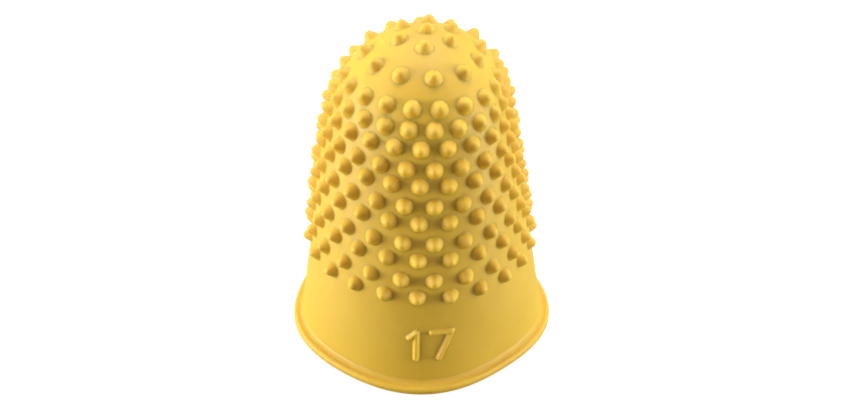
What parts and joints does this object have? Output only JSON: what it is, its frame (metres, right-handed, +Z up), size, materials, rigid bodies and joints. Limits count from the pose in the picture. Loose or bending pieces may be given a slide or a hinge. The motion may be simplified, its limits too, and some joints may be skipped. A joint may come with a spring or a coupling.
{
  "type": "rubber fingertip",
  "caption": "Tapered rubber sleeve with a round closed crown, a lip around its open mouth and staggered rings of blunt nubs, worn on a finger to grip and turn paper.",
  "frame": {"origin": "centre of the open mouth, on the plane that the lip stands on", "axes": "+Z up along the sleeve's axis, from the mouth to the crown; -Y is the front"},
  "size_m": [0.025, 0.025, 0.0289],
  "materials": {
    "rubber": "matte"
  },
  "bodies": {
    "root": {"sleeve_wall": "rubber", "crown": "rubber", "rim_lip": "rubber", "nub_row_1": "rubber", "nub_row_2": "rubber", "nub_row_3": "rubber", "nub_row_4": "rubber", "nub_row_5": "rubber", "nub_row_6": "rubber", "nub_row_7": "rubber", "nub_row_8": "rubber", "nub_row_9": "rubber", "crown_ring_1": "rubber", "crown_ring_2": "rubber", "crown_ring_3": "rubber", "crown_ring_4": "rubber", "crown_tip_nub": "rubber"}
  },
  "joints": []
}
